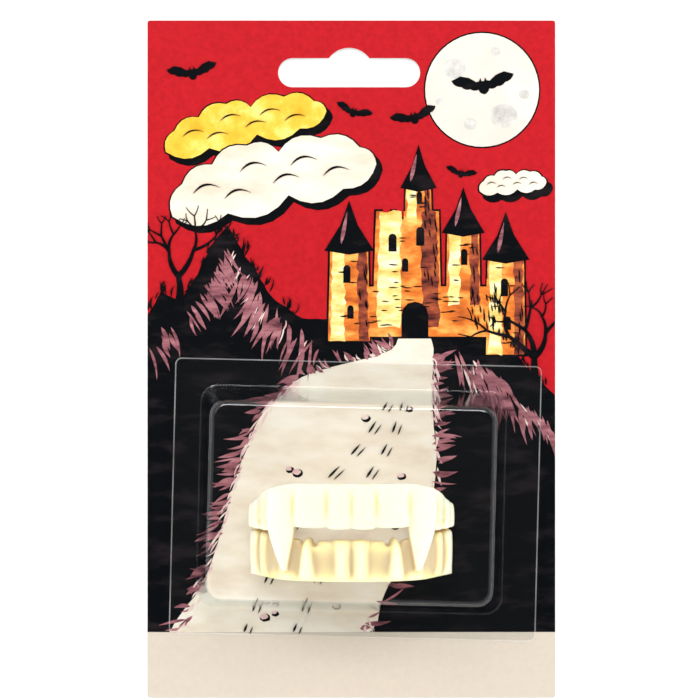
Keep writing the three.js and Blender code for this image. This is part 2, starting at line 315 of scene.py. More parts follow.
def sweep_tray(name, tray):
    corner_angle, limb_length = tangent_limb(tray)
    sheet = u_profile(tray)
    sheet.name = name
    bpy.ops.mesh.select_all(action="SELECT")
    front = {"center": (0, 0, -FRONT_RADIUS), "axis": (0, -1, 0)}
    bpy.ops.mesh.spin(steps=SPIN_STEPS, angle=FRONT_ANGLE, **front)
    bpy.ops.mesh.spin(steps=SPIN_STEPS, angle=corner_angle, center=corner_centre, axis=(0, -1, 0))
    turned = FRONT_ANGLE + corner_angle
    along = Vector((math.cos(turned), 0, -math.sin(turned))) * limb_length / LIMB_STEPS
    for _ in range(LIMB_STEPS):
        extrude(along)
    shape = edit(sheet)
    wall_middle = -tray["setback"] - TRAY_WIDTH / 2
    for vertex in [v for v in shape.verts if v.co.y > PLATE_TOP]:
        run, out = arch_measure(vertex.co)
        ends = (tray["gum"], tray["gum_back"]) if out > wall_middle else (LIP, LIP_BACK)
        vertex.co.y = wall_top(run, *ends)
    bpy.ops.mesh.select_all(action="SELECT")
    bpy.ops.mesh.remove_doubles(threshold=mm(0.01))
    apply_modifier(sheet, "MIRROR", merge_threshold=mm(0.01))
    edit(sheet)
    face_outwards()
    apply_modifier(sheet, "SOLIDIFY", thickness=OUTER_WALL, offset=0.0, use_even_offset=True)
    return sheet


upper_tray = sweep_tray("upper_tray", UPPER)
lower_tray = sweep_tray("lower_tray", LOWER)
for tray in (upper_tray, lower_tray):
    print(tray.name, [round(v * 1000, 1) for v in tray.dimensions], len(tray.data.polygons), "faces")

# %% [markdown]
# ## The teeth
# A tooth is a flat circle, extruded down from the gum edge in a few stages and resized at each, so
# that it swells, narrows and ends in an edge or a point. Subdivision rounds it. Its back half is
# buried in the tray's wall, where the real mould has them as one. Each kind of tooth is a short
# table of rings: how far down each lies, the shares of the tooth's width and depth that it has
# there and, on a fang, the share of its lean towards the middle.

# %% Tooth tables
def rings(*rows):
    """Names a row's numbers: how far down, width, depth and lean, which is 0 where none is given."""
    return [dict(zip(("down", "width", "depth", "lean"), (*row, 0.0))) for row in rows]


INCISOR = rings(
    (0, 0.94, 0.66), (0.1, 1.02, 0.9), (0.45, 1.06, 1),
    (0.82, 1.08, 0.92), (0.95, 1.04, 0.76), (1, 0.9, 0.58),
)
MOLAR = rings(
    (0, 0.96, 0.7), (0.12, 1.04, 0.92), (0.5, 1.08, 1),
    (0.93, 1.08, 0.97), (1, 1, 0.86),
)
FANG = rings(
    (0, 0.9, 0.62, 0), (0.08, 0.98, 0.88, 0), (0.26, 1.04, 1, 0),
    (0.42, 1, 1.02, 0.02), (0.58, 0.8, 0.94, 0.2), (0.74, 0.55, 0.78, 0.48),
    (0.88, 0.32, 0.56, 0.76), (0.97, 0.15, 0.34, 0.95), (1, 0.06, 0.2, 1),
)
LOWER_FANG = rings(
    (0, 1, 0.6), (0.12, 1, 0.95), (0.45, 0.86, 1),
    (0.75, 0.62, 0.9), (0.92, 0.36, 0.66), (1, 0.12, 0.36),
)
INCISOR_STOP = mm(0.9)
LOWER_STOP = mm(1.2)
SIDE_STOP = mm(0.2)
FANG_STOP = mm(-8.4)
FANG_LEAN = mm(-1.1)  # a fang's point leans this far towards the middle
UPPER_TEETH = [
    {"share": 0.14, "shape": INCISOR, "bulge": 0.95, "stop": INCISOR_STOP},
    {"share": 0.204, "shape": INCISOR, "bulge": 1.0, "stop": INCISOR_STOP * 1.3},
    {"share": 0.216, "shape": FANG, "bulge": 1.3, "stop": FANG_STOP},
    {"share": 0.155, "shape": MOLAR, "bulge": -0.1, "stop": SIDE_STOP},
    {"share": 0.15, "shape": MOLAR, "bulge": 1.0, "stop": SIDE_STOP},
    {"share": 0.135, "shape": MOLAR, "bulge": 0.9, "stop": SIDE_STOP},
]
LOWER_TEETH = [
    {"share": 0.115, "shape": INCISOR, "bulge": 0.9, "stop": LOWER_STOP},
    {"share": 0.105, "shape": INCISOR, "bulge": 0.1, "stop": LOWER_STOP * 1.25},
    {"share": 0.13, "shape": LOWER_FANG, "bulge": 1.3, "stop": mm(0.8)},
    {"share": 0.165, "shape": MOLAR, "bulge": 0.7, "stop": LOWER_STOP},
    {"share": 0.17, "shape": MOLAR, "bulge": 0.1, "stop": SIDE_STOP},
    {"share": 0.165, "shape": MOLAR, "bulge": 1.0, "stop": SIDE_STOP},
    {"share": 0.15, "shape": MOLAR, "bulge": 0.8, "stop": SIDE_STOP},
]

# %% Model a tooth
RING_POINTS = 12
ROOT_DEPTH = mm(1.1)  # how far inside the wall a tooth's rings are centred


def grow_tooth(name, shape, width, bulge, top, stop, lean):
    """One tooth in its own frame: x across, y up from the middle plane, z out of the wall."""
    ring = {"vertices": RING_POINTS, "radius": 0.5, "fill_type": "NGON"}
    bpy.ops.mesh.primitive_circle_add(**ring, rotation=(math.pi / 2, 0, 0))
    tooth = settle(bpy.context.object)
    tooth.name = name
    edit(tooth, "FACE")
    bpy.ops.mesh.select_all(action="SELECT")
    depth = 2 * (ROOT_DEPTH + bulge)
    last = {"down": 0.0, "width": 1 / width, "depth": 1 / depth, "lean": 0.0}
    bpy.ops.transform.translate(value=(0, top, 0))
    for row in shape:
        if row["down"] > 0:
            step = (lean * (row["lean"] - last["lean"]), -(top - stop) * (row["down"] - last["down"]), 0)
            extrude(step)
        centre = (lean * row["lean"], top - (top - stop) * row["down"], 0)
        grown = (row["width"] / last["width"], 1, row["depth"] / last["depth"])
        bpy.ops.transform.resize(value=grown, center_override=centre)
        last = row
    face_outwards()
    apply_modifier(tooth, "SUBSURF", levels=2, render_levels=2)
    return tooth


def row_of_teeth(name, rows, tray):
    """All the teeth of one tray, both sides of the middle."""
    made = []
    start = 0.0
    for number, row in enumerate(rows, 1):
        width = row["share"] * half_arch
        run = start + width / 2
        start += width
        top = wall_top(run, tray["gum"], tray["gum_back"])
        for side in (-1, 1):
            place, turn = arch_place(side * run, -setback_at(run, tray) - ROOT_DEPTH)
            lean = side * FANG_LEAN if row["shape"] is FANG else 0.0
            bulge = row["bulge"] * TOOTH_BULGE
            tooth = grow_tooth(f"{name}_{number}", row["shape"], width, bulge, top, row["stop"], lean)
            tooth.matrix_world = Matrix.Translation(place) @ Matrix.Rotation(turn, 4, "Y")
            made.append(settle(tooth))
    return made


upper_row = row_of_teeth("upper_tooth", UPPER_TEETH, UPPER)
lower_row = row_of_teeth("lower_tooth", LOWER_TEETH, LOWER)
print(len(upper_row), "upper and", len(lower_row), "lower teeth")

# %% [markdown]
# ## The hinge straps
# At each back end a thin strap bends from one bite plate round to the other. It is a narrow plane
# whose end edge is spun through half a turn, and it is what lets the toy open in the mouth.

# %% Model a strap
STRAP_WIDTH = mm(5.0)
STRAP_ROOT = mm(1.5)
STRAP_THICKNESS = mm(0.9)


def hinge_strap(side):
    bpy.ops.mesh.primitive_plane_add(size=1.0, rotation=(math.pi / 2, 0, 0))
    strap = settle(bpy.context.object)
    strap.name = "hinge_strap"
    shape = edit(strap)
    for vertex in shape.verts:
        x, z = vertex.co.x, vertex.co.z
        vertex.co = (x * STRAP_WIDTH, -PLATE_MIDDLE, (z + 0.5) * STRAP_ROOT)
    bmesh.update_edit_mesh(strap.data)
    pick(strap, "EDGE", lambda e: middle(e).z < mm(0.1))
    bpy.ops.mesh.spin(steps=SPIN_STEPS, angle=math.pi, center=(0, 0, 0), axis=(-1, 0, 0))
    extrude((0, 0, STRAP_ROOT))
    bpy.ops.mesh.select_all(action="SELECT")
    bpy.ops.mesh.remove_doubles(threshold=mm(0.01))
    face_outwards()
    apply_modifier(strap, "SOLIDIFY", thickness=STRAP_THICKNESS, offset=0.0)
    place, turn = arch_place(side * half_arch, -(OUTER_WALL + TRAY_WIDTH) / 2)
    strap.matrix_world = Matrix.Translation(place) @ Matrix.Rotation(turn - side * math.pi / 2, 4, "Y")
    return settle(strap)


straps = [hinge_strap(-1), hinge_strap(1)]
print("strap", [round(v * 1000, 1) for v in straps[0].dimensions])

# %% [markdown]
# ## One moulding
# The lower tray and its teeth are turned over, and all is joined. A voxel remesh then melts the
# pieces into one skin, as the mould does, and a light smoothing rounds every edge, because a soft
# plastic toy has no sharp one.

# %% Fuse the denture
VOXEL = mm(0.275)


def turn_over(pieces):
    for piece in pieces:
        piece.matrix_world = Matrix.Scale(-1, 4, (0, 1, 0))
        settle(piece)
        edit(piece)
        face_outwards()
    deselect()


turn_over([lower_tray, *lower_row])
denture = join([upper_tray, *upper_row, lower_tray, *lower_row, *straps], "denture_moulding")
apply_modifier(denture, "REMESH", mode="VOXEL", voxel_size=VOXEL, adaptivity=0.0)
apply_modifier(denture, "SMOOTH", factor=0.5, iterations=6)
denture_middle = denture_high.y - wall_top(0, UPPER["gum"], UPPER["gum_back"])
denture_front = denture_low.z - min(v.co.z for v in denture.data.vertices)
denture_place = Vector((0, denture_middle, denture_front))
denture.matrix_world = Matrix.Translation(denture_place)
settle(denture, smooth_angle=60)
print("denture", len(denture.data.polygons), "faces", [round(v * 1000, 2) for v in denture.dimensions])
print("its solid", [round(v * 1000, 2) for v in denture_high - denture_low])
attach(denture, "root")
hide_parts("denture")

# %% [markdown]
# ## The blister
# The film is one sheet drawn over a box: a flat flange, steep walls with a little draft, and a flat
# face. We begin with the flange as a plane with rounded corners, inset it twice, move the inner
# loop to the bubble's foot, extrude that up and bring it in by the draft. Bevels then round the
# bends, and Solidify gives the film its gauge. The outer strip keeps a finish of its own, a faint
# white that is a painted highlight of the light its cut edge catches.

# %% Form the bubble
FILM = mm(0.35)
FLANGE_SIZE = (mm(81.9), mm(61.6))
FOOT_SIZE = (mm(68.1), mm(49.6))
BLISTER_MIDDLE = (mm(0.0), mm(-31.4))
FLANGE_SHIFT = mm(0.9)
FLANGE_CORNER = mm(1.5)
RIM_WIDTH = mm(0.28)
DRAFT = math.radians(6)
BUBBLE_CORNER = mm(4.0)
CORNER_SEGMENTS = 8
FACE_EDGE = mm(1.3)
FACE_SHIFT = mm(0.8)  # the face stands this far nearer to the slot than the foot's middle
FOOT_FILLET = mm(0.35)
TWIST = math.radians(-1.4)
ROOM_BELOW = mm(0.02)  # how far the film stays inside its solid's box
ROOM_ABOVE = mm(0.06)
FLANGE_TOP = blister_low.z + FILM + ROOM_BELOW
FACE_TOP = blister_high.z - ROOM_ABOVE
flange_middle = (BLISTER_MIDDLE[0] + FLANGE_SHIFT, BLISTER_MIDDLE[1])


def to_foot(point):
    """Carries a point of the flange's rounded outline to the same place on the foot's outline."""
    turn = []
    centre = []
    for axis in (0, 1):
        side = math.copysign(1, point[axis] - flange_middle[axis])
        turn.append(point[axis] - flange_middle[axis] - side * (FLANGE_SIZE[axis] / 2 - FLANGE_CORNER))
        centre.append(BLISTER_MIDDLE[axis] + side * (FOOT_SIZE[axis] / 2 - BUBBLE_CORNER))
    length = math.hypot(*turn)
    return [middle + part / length * BUBBLE_CORNER for middle, part in zip(centre, turn)]


def form_bubble():
    deselect()
    bpy.ops.mesh.primitive_plane_add(size=1.0, location=(*flange_middle, FLANGE_TOP))
    film = bpy.context.object
    film.name = "blister_film"
    film.scale = (*FLANGE_SIZE, 1)
    settle(film)
    edit(film)
    bpy.ops.mesh.select_all(action="SELECT")
    bpy.ops.mesh.bevel(offset=FLANGE_CORNER, segments=CORNER_SEGMENTS, affect="VERTICES")
    bpy.ops.mesh.select_mode(type="FACE")
    bpy.ops.mesh.select_all(action="SELECT")
    bpy.ops.mesh.inset(thickness=RIM_WIDTH)
    shape = bmesh.from_edit_mesh(film.data)
    # The outer rim strip takes finish 1, whose faint white is a painted highlight along the cut edge.
    for face in shape.faces:
        face.material_index = 0 if face.select else 1
    bpy.ops.mesh.inset(thickness=RIM_WIDTH)
    shape = bmesh.from_edit_mesh(film.data)
    for vertex in [v for v in shape.verts if v.select]:
        vertex.co.xy = to_foot(vertex.co)
    height = FACE_TOP - FLANGE_TOP
    extrude((0, 0, height))
    narrowing = [1 - 2 * height * math.tan(DRAFT) / size for size in FOOT_SIZE]
    bpy.ops.transform.resize(value=(*narrowing, 1), center_override=(*BLISTER_MIDDLE, FACE_TOP))
    bpy.ops.transform.translate(value=(0, FACE_SHIFT, 0))
    return film


def rounded(film, test, width, segments):
    """Rounds the edges that pass the test."""
    edit(film, "EDGE")
    found = pick(film, "EDGE", test)
    bpy.ops.mesh.bevel(offset=width, offset_type="OFFSET", segments=segments, profile=0.5)
    return found


def on_face(edge):
    return all(v.co.z > FACE_TOP - mm(0.01) for v in edge.verts)


def on_foot(edge):
    heights = [middle(face).z for face in edge.link_faces]
    return middle(edge).z < FLANGE_TOP + mm(0.01) and max(heights) > FLANGE_TOP + mm(1)


blister = form_bubble()
print("face bend", rounded(blister, on_face, FACE_EDGE, 6), "edges")
print("foot bend", rounded(blister, on_foot, FOOT_FILLET, 3), "edges")
pivot = Matrix.Translation((*BLISTER_MIDDLE, 0))
blister.matrix_world = pivot @ Matrix.Rotation(TWIST, 4, "Z") @ pivot.inverted()
settle(blister)
apply_modifier(blister, "SOLIDIFY", thickness=FILM, offset=-1.0, use_even_offset=True)
settle(blister, smooth_angle=35)
apply_modifier(blister, "WEIGHTED_NORMAL", weight=50, keep_sharp=True)
print("blister", len(blister.data.polygons), "faces", [round(v * 1000, 2) for v in blister.dimensions])
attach(blister, "root")
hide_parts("blister")

# %% [markdown]
# ## Materials
# Each finish is a small node tree. The helper wires nodes by name, and every pattern reads Object
# coordinates, which are metres here, so a noise scale of 1000 has features of about a millimetre.

# %% A helper for node trees
class Finish:
    """A material under construction: adds nodes and links them."""

    def __init__(self, name):
        self.material = bpy.data.materials.new(name)
        self.material.use_nodes = True
        self.tree = self.material.node_tree
        self.tree.nodes.clear()
        self.output = self.tree.nodes.new("ShaderNodeOutputMaterial")
        self.coordinates = self.tree.nodes.new("ShaderNodeTexCoord").outputs["Object"]

    def node(self, kind, **values):
        made = self.tree.nodes.new("ShaderNode" + kind)
        for name, value in values.items():
            if hasattr(made, name):
                setattr(made, name, value)
            elif isinstance(value, bpy.types.NodeSocket):
                self.tree.links.new(value, made.inputs[name.replace("_", " ")])
            else:
                made.inputs[name.replace("_", " ")].default_value = value
        return made

    def noise(self, scale, detail=3.0, roughness=0.5):
        settings = {"Scale": scale, "Detail": detail, "Roughness": roughness}
        return self.node("TexNoise", Vector=self.coordinates, **settings).outputs["Fac"]

    def weighted(self, parts):
        """The sum of several values, each times its weight."""
        total = 0.0
        for value, weight in parts:
            step = self.tree.nodes.new("ShaderNodeMath")
            step.operation = "MULTIPLY_ADD"
            self.tree.links.new(value, step.inputs[0])
            step.inputs[1].default_value = weight
            if isinstance(total, bpy.types.NodeSocket):
                self.tree.links.new(total, step.inputs[2])
            else:
                step.inputs[2].default_value = total
            total = step.outputs[0]
        return total

    def ramp(self, value, stops):
        """Colours by value: stops are (position, colour) pairs."""
        made = self.node("ValToRGB", Fac=value)
        band = made.color_ramp
        while len(band.elements) < len(stops):
            band.elements.new(0.5)
        for element, (position, colour) in zip(band.elements, stops):
            element.position = position
            element.color = (*colour, 1)
        return made.outputs["Color"]

    def mix(self, amount, first, second, blend="MIX"):
        made = self.tree.nodes.new("ShaderNodeMix")
        made.data_type = "RGBA"
        made.blend_type = blend
        for socket, value in zip([made.inputs[0], made.inputs[6], made.inputs[7]], [amount, first, second]):
            if isinstance(value, bpy.types.NodeSocket):
                self.tree.links.new(value, socket)
            elif isinstance(value, tuple):
                socket.default_value = (*value, 1)
            else:
                socket.default_value = value
        return made.outputs[2]

    def bump(self, height, distance, strength, over=None):
        """The normal of a bump, laid over another bump's where one is given."""
        made = self.node("Bump", Height=height, Distance=distance, Strength=strength)
        if over:
            self.tree.links.new(over, made.inputs["Normal"])
        return made.outputs["Normal"]

    def above(self, value, limit):
        """1 where a value is over the limit, and 0 elsewhere."""
        step = self.node("Math", operation="GREATER_THAN")
        self.tree.links.new(value, step.inputs[0])
        step.inputs[1].default_value = limit
        return step.outputs[0]

    def tinted(self, value, colour, low, high=1.0):
        """A ramp from a darker to a lighter tint of one colour."""
        dark, light = [tuple(v * share for v in colour) for share in (low, high)]
        return self.ramp(value, [(0.3, dark), (0.7, light)])

    def surface(self, shader):
        self.tree.links.new(shader, self.output.inputs["Surface"])
        return self.material

    def mixed_surface(self, amount, first, second):
        """A surface that is the first shader, with the second mixed in by the amount."""
        shader = self.node("MixShader", Fac=amount)
        self.tree.links.new(first.outputs[0], shader.inputs[1])
        self.tree.links.new(second.outputs[0], shader.inputs[2])
        return self.surface(shader.outputs[0])


def dress(piece, material):
    piece.data.materials.clear()
    piece.data.materials.append(material)


# %% [markdown]
# ### Soft ivory plastic
# The denture is a soft, milky plastic, and subsurface scattering gives the softness. Its colour also
# carries painted shade: the ivory is painted yellow, then tan, in grooves, in deep places and on the
# set-back lower row. This stands in for the shade there and for the light that bounces about in the
# plastic. Thin, proud rims get the lightest ivory. To place the painted shade we measure the form
# itself: how far each vertex lies below a smoothed copy of the mesh, how much of its sky the denture
# hides from it, and how far it stands behind a line round the arch, as all of the lower row does.
# At the sides, where we look through more plastic, that line is further out.

# %% Measure the grooves and the deep places
GROOVE_SMOOTHING = 220
GROOVE_DEPTH = mm(0.7)
SKY_RAYS = 28
SKY_REACH = mm(9)
SET_BACK_REACH = mm(3.6)
FRONT_LINE = mm(0.45)
SIDE_LINE = mm(1.6)


def groove_depths(shape):
    """How far each vertex lies below the smoothed skin, 0 proud to 1 deep."""
    own = [v.co.copy() for v in shape.verts]
    facing = [v.normal.copy() for v in shape.verts]
    axes = {"use_axis_x": True, "use_axis_y": True, "use_axis_z": True}
    for _ in range(GROOVE_SMOOTHING):
        bmesh.ops.smooth_vert(shape, verts=shape.verts, factor=0.5, **axes)
    depths = [(v.co - start).dot(normal) for v, start, normal in zip(shape.verts, own, facing)]
    return [min(max(0.5 + depth / GROOVE_DEPTH, 0), 1) for depth in depths]


def hidden_sky(shape):
    """The share of evenly spread rays over each vertex that meet the denture again."""
    tree = BVHTree.FromBMesh(shape)
    golden = math.pi * (3 - math.sqrt(5))
    rays = []
    for index in range(SKY_RAYS):
        height = math.sqrt((index + 0.5) / SKY_RAYS)
        flat = math.sqrt(1 - height * height)
        rays.append(Vector((math.cos(index * golden) * flat, math.sin(index * golden) * flat, height)))
    shares = []
    for vertex in shape.verts:
        turn = Vector((0, 0, 1)).rotation_difference(vertex.normal)
        start = vertex.co + vertex.normal * mm(0.05)
        hits = sum(tree.ray_cast(start, turn @ ray, SKY_REACH)[0] is not None for ray in rays)
        shares.append(hits / SKY_RAYS)
    return shares


def store(piece, name, values):
    piece.data.attributes.new(name, "FLOAT", "POINT").data.foreach_set("value", values)
    print(name, "is", round(sum(values) / len(values), 2), "on average")


def set_back(point):
    """How far a point stands behind a line round the arch that is further out at the sides."""
    run, out = arch_measure(point)
    turned = eased(run, front_run + 0.3 * corner_run, front_run + 0.8 * corner_run)
    line = FRONT_LINE + (SIDE_LINE - FRONT_LINE) * turned
    return min(max((line - out) / SET_BACK_REACH, 0), 1)


def evened(shape, values):
    """Every vertex's value drawn halfway to the average of its neighbours'."""
    result = []
    for vertex in shape.verts:
        around = [values[edge.other_vert(vertex).index] for edge in vertex.link_edges]
        result.append(0.5 * values[vertex.index] + 0.5 * sum(around) / len(around))
    return result


def measure_form(piece):
    shape = bmesh.new()
    shape.from_mesh(piece.data)
    shape.verts.ensure_lookup_table()
    shares = hidden_sky(shape)
    for _ in range(3):
        shares = evened(shape, shares)
    store(piece, "hidden_sky", shares)
    store(piece, "set_back", [set_back(v.co - denture_place) for v in shape.verts])
    store(piece, "groove", groove_depths(shape))
    shape.free()


measure_form(denture)

# %% The denture's plastic
IVORY = (0.945, 0.885, 0.67)
IVORY_RIM = (0.955, 0.915, 0.73)
# Painted shade: the yellow and the tan below stand in for the shade and bounced light in grooves, deep
# places and the set-back lower row.
PAINTED_SHADE_YELLOW = (0.93, 0.78, 0.37)
PAINTED_SHADE_TAN = (0.68, 0.52, 0.29)


def ivory_plastic():
    finish = Finish("ivory_plastic")
    groove = finish.node("Attribute", attribute_name="groove").outputs["Fac"]
    hidden = finish.node("Attribute", attribute_name="hidden_sky").outputs["Fac"]
    behind = finish.node("Attribute", attribute_name="set_back").outputs["Fac"]
    # Painted shade: groove depth, hidden sky and standing back push the ivory towards yellow and then tan.
    depth = finish.weighted([(groove, 0.52), (hidden, 0.5), (behind, 0.6)])
    tones = [(0.22, IVORY_RIM), (0.37, IVORY), (0.6, PAINTED_SHADE_YELLOW), (0.83, PAINTED_SHADE_TAN)]
    colour = finish.ramp(depth, tones)
    cloud = finish.node("MapRange", Value=finish.noise(160, detail=2), To_Max=0.2)
    colour = finish.mix(cloud.outputs[0], colour, IVORY_RIM)
    grain = finish.bump(finish.noise(2600, detail=2), mm(0.03), 0.35)
    waves = finish.bump(finish.noise(420, detail=1), mm(0.12), 0.35, over=grain)
    shader = finish.node("BsdfPrincipled", Base_Color=colour, Roughness=0.34, Normal=waves)
    shader.inputs["Subsurface Weight"].default_value = 0.8
    shader.inputs["Subsurface Radius"].default_value = (1.0, 0.85, 0.5)
    shader.inputs["Subsurface Scale"].default_value = mm(2.4)
    return finish.surface(shader.outputs[0])


dress(denture, ivory_plastic())
print("denture wears", denture.active_material.name)

# %% [markdown]
# ### Clear film
# Thin film bends light too little to see, so it is a mix of plain transparency and a mirror-like
# gloss. A layer weight, raised to a power, lets more gloss show and a little less light through
# where we look along the film, which is what draws the bubble's walls and bends. The flange's cut
# rim gets faint patches of a soft white, a painted highlight that draws its thin light line.

# %% The film
FILM_CLEAR = (0.99, 0.995, 0.995)
FILM_ASIDE = (0.8, 0.85, 0.86)  # what gets through where we look along the film


def clear_film():
    finish = Finish("clear_film")
    ripple = finish.bump(finish.noise(45, detail=1), mm(0.5), 0.12)
    gloss = finish.node("BsdfAnisotropic", Color=(1, 1, 1, 1), Roughness=0.05, Normal=ripple)
    aside = finish.node("LayerWeight", Blend=0.5).outputs["Facing"]
    curve = finish.node("Math", operation="POWER")
    finish.tree.links.new(aside, curve.inputs[0])
    curve.inputs[1].default_value = 4.0
    passed = finish.ramp(curve.outputs[0], [(0.0, FILM_CLEAR), (1.0, FILM_ASIDE)])
    clear = finish.node("BsdfTransparent", Color=passed)
    amount = finish.node("MapRange", Value=curve.outputs[0], To_Min=0.035, To_Max=0.4)
    return finish.mixed_surface(amount.outputs[0], clear, gloss)


def rim_painted_highlight():
    """A painted highlight on the flange's cut rim: clear film with faint patches of a soft white."""
    finish = Finish("rim_painted_highlight")
    clear = finish.node("BsdfTransparent", Color=(1, 1, 1, 1))
    white = finish.node("BsdfPrincipled", Base_Color=(0.9, 0.9, 0.9, 1), Roughness=0.6)
    patches = finish.node("MapRange", Value=finish.noise(120, detail=2), To_Min=0.02, To_Max=0.2)
    return finish.mixed_surface(patches.outputs[0], clear, white)


for finish in (clear_film(), rim_painted_highlight()):
    blister.data.materials.append(finish)
print("film faces by finish:", [sum(p.material_index == k for p in blister.data.polygons) for k in (0, 1)])

# %% [markdown]
# ### Printed board
# The card's face is printed red down to a beige band, and its back and cut edges are bare
# grey-white board. The colours are chosen by height: only the face lies at the card's full height.

# %% The board
INK_RED = (0.465, 0.011, 0.017)
BAND_BEIGE = (0.61, 0.535, 0.445)
BOARD_GREY = (0.78, 0.76, 0.72)
BAND_TOP = mm(-61)
PRINT_SHINE = 0.06


def printed_board():
    finish = Finish("printed_board")
    place = finish.node("SeparateXYZ", Vector=finish.coordinates)
    face = finish.above(place.outputs["Z"], card_face - mm(0.02))
    sky = finish.above(place.outputs["Y"], BAND_TOP)
    speckle = finish.noise(900, detail=4)
    red = finish.tinted(speckle, INK_RED, 0.9, 1.12)
    beige = finish.tinted(speckle, BAND_BEIGE, 0.95)
    bare = finish.tinted(finish.noise(1500, detail=5), BOARD_GREY, 0.85)
    colour = finish.mix(face, bare, finish.mix(sky, beige, red))
    fibres = finish.bump(finish.noise(2200, detail=4), mm(0.02), 0.3)
    rough = finish.node("MapRange", Value=face, To_Min=0.85, To_Max=0.5)
    shader = finish.node("BsdfPrincipled", Base_Color=colour, Roughness=rough.outputs[0], Normal=fibres)
    shader.inputs["Specular IOR Level"].default_value = PRINT_SHINE
    return finish.surface(shader.outputs[0])


dress(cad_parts["card"], printed_board())

# %% [markdown]
# ## The print
# The card carries a night scene in a few flat inks, as a screen print does: a red sky, black land,
# a cream road, clouds, a moon and a castle. Each ink is a set of closed outlines. We lay an outline
# with a circle primitive of as many points, move its points into place and extrude it by a few
# hundredths of a millimetre more than the ink below, so that each is a real, thin layer.

# %% Outlines for the inks
random.seed(31)
INK_STEP = 0.02  # millimetres between one ink and the next
INK_HAIR = 0.0004  # millimetres between shapes of one ink, so that none lie in one plane


def curve_through(points, steps=4):
    """A smooth closed outline through a few points, each stretch a Catmull-Rom curve."""
    outline = []
    count = len(points)
    for index in range(count):
        a, b, c, d = [Vector(points[(index + shift) % count]) for shift in (-1, 0, 1, 2)]
        for step in range(steps):
            t = step / steps
            square = 2 * a - 5 * b + 4 * c - d
            place = 2 * b + (c - a) * t + square * t * t + (3 * b - a - 3 * c + d) * t ** 3
            outline.append(tuple(place / 2))
    return outline


def rough(points, spacing=1.6, amount=0.12):
    """The same outline drawn by an unsteady hand: long edges are split and every point strays."""
    outline = []
    for start, end in zip(points, points[1:] + points[:1]):
        start, end = Vector(start), Vector(end)
        parts = max(1, round((end - start).length / spacing))
        for part in range(parts):
            stray = Vector((random.uniform(-amount, amount), random.uniform(-amount, amount)))
            outline.append(tuple(start.lerp(end, part / parts) + stray))
    return outline


def stroke(start, end, width, bend=0.0, fat=0.4):
    """One stroke of a brush: thin at both ends, fattest at the share fat of its length."""
    start, end = Vector(start), Vector(end)
    along = end - start
    across = Vector((-along.y, along.x)).normalized()
    left, right = [], []
    for step in range(1, 7):
        t = step / 7
        swell = math.sin(math.pi * (t ** (math.log(0.5) / math.log(fat)))) * width / 2
        place = start + along * t + across * (4 * bend * t * (1 - t))
        left.append(tuple(place + across * swell))
        right.append(tuple(place - across * swell))
    return [tuple(start), *left, tuple(end), *reversed(right)]


def oval(middle, width, height, points=28):
    turns = [2 * math.pi * index / points for index in range(points)]
    return [(middle[0] + width / 2 * math.cos(t), middle[1] + height / 2 * math.sin(t)) for t in turns]


def moved(outline, across=0.0, up=0.0, size=1.0, turn=0.0):
    """The outline scaled, turned and carried to another place."""
    cosine, sine = math.cos(turn) * size, math.sin(turn) * size
    return [(across + x * cosine - y * sine, up + x * sine + y * cosine) for x, y in outline]


print("a stroke has", len(stroke((0, 0), (1, 0), 0.2)), "points")

# %% Lay one ink
def lay_ink(name, outlines, level, material):
    """All the shapes of one ink as one thin printed layer on the card."""
    deselect()
    bpy.ops.mesh.primitive_circle_add(vertices=len(outlines[0]), fill_type="NGON")
    layer = bpy.context.object
    layer.name = name
    edit(layer, "FACE")
    bpy.ops.mesh.select_all(action="SELECT")
    for number, outline in enumerate(outlines):
        if number:
            bpy.ops.mesh.primitive_circle_add(vertices=len(outline), fill_type="NGON")
        shape = bmesh.from_edit_mesh(layer.data)
        for vertex, (x, y) in zip([v for v in shape.verts if v.select], outline):
            vertex.co = (mm(x), mm(y), card_face)
        bmesh.update_edit_mesh(layer.data)
        height = mm(level * INK_STEP + number * INK_HAIR)
        extrude((0, 0, height))
        bpy.ops.mesh.select_all(action="DESELECT")
    face_outwards()
    settle(layer)
    dress(layer, material)
    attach(layer, "root")
    print(name, len(outlines), "shapes,", len(layer.data.polygons), "faces")
    return layer


# %% [markdown]
# ### Inks
# Printed inks are seldom even. Each one is a ramp between two or three close tones, driven by a
# noise that is stretched along the brush, and it dries to a slight sheen on the board's fibres.

# %% Ink finishes
FIRST_TONE = 0.34  # the marks' noise at which the first tone ends
TONE_SPAN = 0.32


def brushed_ink(name, tones, scale=(90, 260), tilt=60, roughness=0.5):
    """An ink whose tones follow long brush marks: scale across and along, tilt in degrees."""
    finish = Finish(name)
    turned = finish.node("Mapping", Vector=finish.coordinates)
    turned.inputs["Rotation"].default_value = (0, 0, math.radians(-tilt))
    turned.inputs["Scale"].default_value = (scale[0], scale[1], 1)
    marks = finish.node("TexNoise", Vector=turned.outputs["Vector"], Scale=1.0, Detail=5.0, Roughness=0.62)
    step = TONE_SPAN / (len(tones) - 1)
    spread = [(FIRST_TONE + step * index, tone) for index, tone in enumerate(tones)]
    colour = finish.ramp(marks.outputs["Fac"], spread)
    fibres = finish.bump(finish.noise(2200, detail=4), mm(0.015), 0.3)
    shader = finish.node("BsdfPrincipled", Base_Color=colour, Roughness=roughness, Normal=fibres)
    shader.inputs["Specular IOR Level"].default_value = PRINT_SHINE
    return finish.surface(shader.outputs[0])


